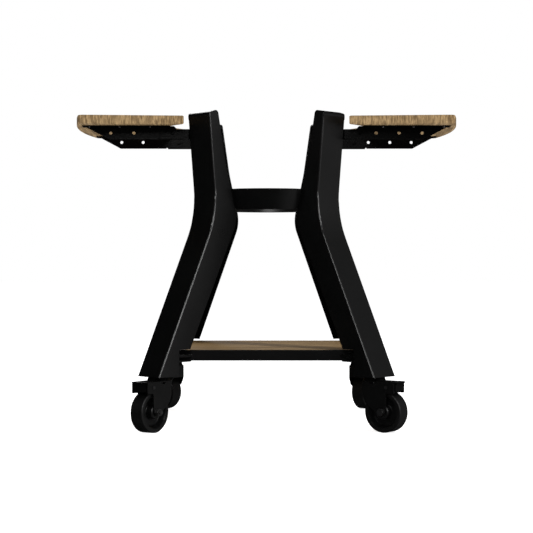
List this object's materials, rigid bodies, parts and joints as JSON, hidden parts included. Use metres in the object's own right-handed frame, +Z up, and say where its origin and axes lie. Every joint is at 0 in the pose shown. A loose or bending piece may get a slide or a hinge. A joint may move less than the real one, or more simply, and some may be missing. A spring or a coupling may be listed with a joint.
{
  "type": "kamado grill stand",
  "caption": "Rolling grill stand with bent channel legs, a waist ring, a low wood shelf, fold-down wood side tables and braked swivel casters.",
  "frame": {"origin": "floor level under the middle of the stand", "axes": "+X to the viewer's right along the two side tables, +Y to the back, +Z up"},
  "size_m": [0.9724, 0.6782, 0.7879],
  "materials": {
    "black_steel": "satin black powder coat",
    "bolt": "black oxide",
    "zinc": "zinc plated",
    "wood": "oiled light hardwood",
    "hub_plastic": "matte moulded",
    "tyre_rubber": "matte rubber"
  },
  "bodies": {
    "stand": {"leg_front_left": "black_steel", "leg_front_right": "black_steel", "leg_rear_left": "black_steel", "leg_rear_right": "black_steel", "foot_plates": "black_steel", "shelf_lugs": "black_steel", "ring_lugs": "black_steel", "cradle_ring": "black_steel", "front_plate": "black_steel", "ring_bolts": "bolt", "shelf_frame": "black_steel", "shelf_board": "wood", "shelf_bolts": "bolt", "shelf_screws": "zinc", "arm_front_left": "black_steel", "arm_front_right": "black_steel", "arm_rear_left": "black_steel", "arm_rear_right": "black_steel", "arm_bolts": "bolt", "caster_stems": "zinc", "caster_races": "black_steel", "caster_nuts": "bolt"},
    "left_pins": {"left_pivot_bolts": "bolt"},
    "left_table": {"left_board": "wood", "left_bracket_front": "black_steel", "left_bracket_rear": "black_steel", "left_screws": "zinc"},
    "right_pins": {"right_pivot_bolts": "bolt"},
    "right_table": {"right_board": "wood", "right_bracket_front": "black_steel", "right_bracket_rear": "black_steel", "right_screws": "zinc"},
    "swivel_fl": {"fork_front_left": "black_steel", "axle_front_left": "bolt", "pedal_pin_front_left": "bolt"},
    "wheel_fl": {"hub_front_left": "hub_plastic", "tyre_front_left": "tyre_rubber"},
    "brake_fl": {"pedal_front_left": "black_steel"},
    "swivel_fr": {"fork_front_right": "black_steel", "axle_front_right": "bolt", "pedal_pin_front_right": "bolt"},
    "wheel_fr": {"hub_front_right": "hub_plastic", "tyre_front_right": "tyre_rubber"},
    "brake_fr": {"pedal_front_right": "black_steel"},
    "swivel_rl": {"fork_rear_left": "black_steel", "axle_rear_left": "bolt", "pedal_pin_rear_left": "bolt"},
    "wheel_rl": {"hub_rear_left": "hub_plastic", "tyre_rear_left": "tyre_rubber"},
    "brake_rl": {"pedal_rear_left": "black_steel"},
    "swivel_rr": {"fork_rear_right": "black_steel", "axle_rear_right": "bolt", "pedal_pin_rear_right": "bolt"},
    "wheel_rr": {"hub_rear_right": "hub_plastic", "tyre_rear_right": "tyre_rubber"},
    "brake_rr": {"pedal_rear_right": "black_steel"}
  },
  "joints": [
    {"name": "left_table_pull", "type": "slide", "parent": "stand", "child": "left_pins", "axis": [-1, 0, 0], "range_m": [0, 0.02]},
    {"name": "left_table_fold", "type": "hinge", "parent": "left_pins", "child": "left_table", "pos_m": [-0.236, 0, 0.735], "axis": [0, -1, 0], "range_deg": [0, 90]},
    {"name": "right_table_pull", "type": "slide", "parent": "stand", "child": "right_pins", "axis": [1, 0, 0], "range_m": [0, 0.02]},
    {"name": "right_table_fold", "type": "hinge", "parent": "right_pins", "child": "right_table", "pos_m": [0.236, 0, 0.735], "axis": [0, 1, 0], "range_deg": [0, 90]},
    {"name": "fl_swivel", "type": "hinge", "parent": "stand", "child": "swivel_fl", "pos_m": [-0.26163, -0.26163, 0.12], "axis": [0, 0, 1], "continuous": true},
    {"name": "fl_wheel_spin", "type": "hinge", "parent": "swivel_fl", "child": "wheel_fl", "pos_m": [-0.28128, -0.28888, 0.05], "axis": [0.8111, -0.585, 0], "continuous": true},
    {"name": "fl_brake", "type": "hinge", "parent": "swivel_fl", "child": "brake_fl", "pos_m": [-0.28912, -0.29975, 0.11], "axis": [0.8111, -0.585, 0], "range_deg": [0, 10]},
    {"name": "fr_swivel", "type": "hinge", "parent": "stand", "child": "swivel_fr", "pos_m": [0.26163, -0.26163, 0.12], "axis": [0, 0, 1], "continuous": true},
    {"name": "fr_wheel_spin", "type": "hinge", "parent": "swivel_fr", "child": "wheel_fr", "pos_m": [0.28888, -0.28128, 0.05], "axis": [0.585, 0.8111, 0], "continuous": true},
    {"name": "fr_brake", "type": "hinge", "parent": "swivel_fr", "child": "brake_fr", "pos_m": [0.29975, -0.28912, 0.11], "axis": [0.585, 0.8111, 0], "range_deg": [0, 10]},
    {"name": "rl_swivel", "type": "hinge", "parent": "stand", "child": "swivel_rl", "pos_m": [-0.26163, 0.26163, 0.12], "axis": [0, 0, 1], "continuous": true},
    {"name": "rl_wheel_spin", "type": "hinge", "parent": "swivel_rl", "child": "wheel_rl", "pos_m": [-0.28888, 0.28128, 0.05], "axis": [-0.585, -0.8111, 0], "continuous": true},
    {"name": "rl_brake", "type": "hinge", "parent": "swivel_rl", "child": "brake_rl", "pos_m": [-0.29975, 0.28912, 0.11], "axis": [-0.585, -0.8111, 0], "range_deg": [0, 10]},
    {"name": "rr_swivel", "type": "hinge", "parent": "stand", "child": "swivel_rr", "pos_m": [0.26163, 0.26163, 0.12], "axis": [0, 0, 1], "continuous": true},
    {"name": "rr_wheel_spin", "type": "hinge", "parent": "swivel_rr", "child": "wheel_rr", "pos_m": [0.28128, 0.28888, 0.05], "axis": [-0.8111, 0.585, 0], "continuous": true},
    {"name": "rr_brake", "type": "hinge", "parent": "swivel_rr", "child": "brake_rr", "pos_m": [0.28912, 0.29975, 0.11], "axis": [-0.8111, 0.585, 0], "range_deg": [0, 10]}
  ],
  "couplings": [
    {"joint": "left_table_pull", "follows": "left_table_fold", "m_per_rad": 0.012732},
    {"joint": "right_table_pull", "follows": "right_table_fold", "m_per_rad": 0.012732}
  ]
}
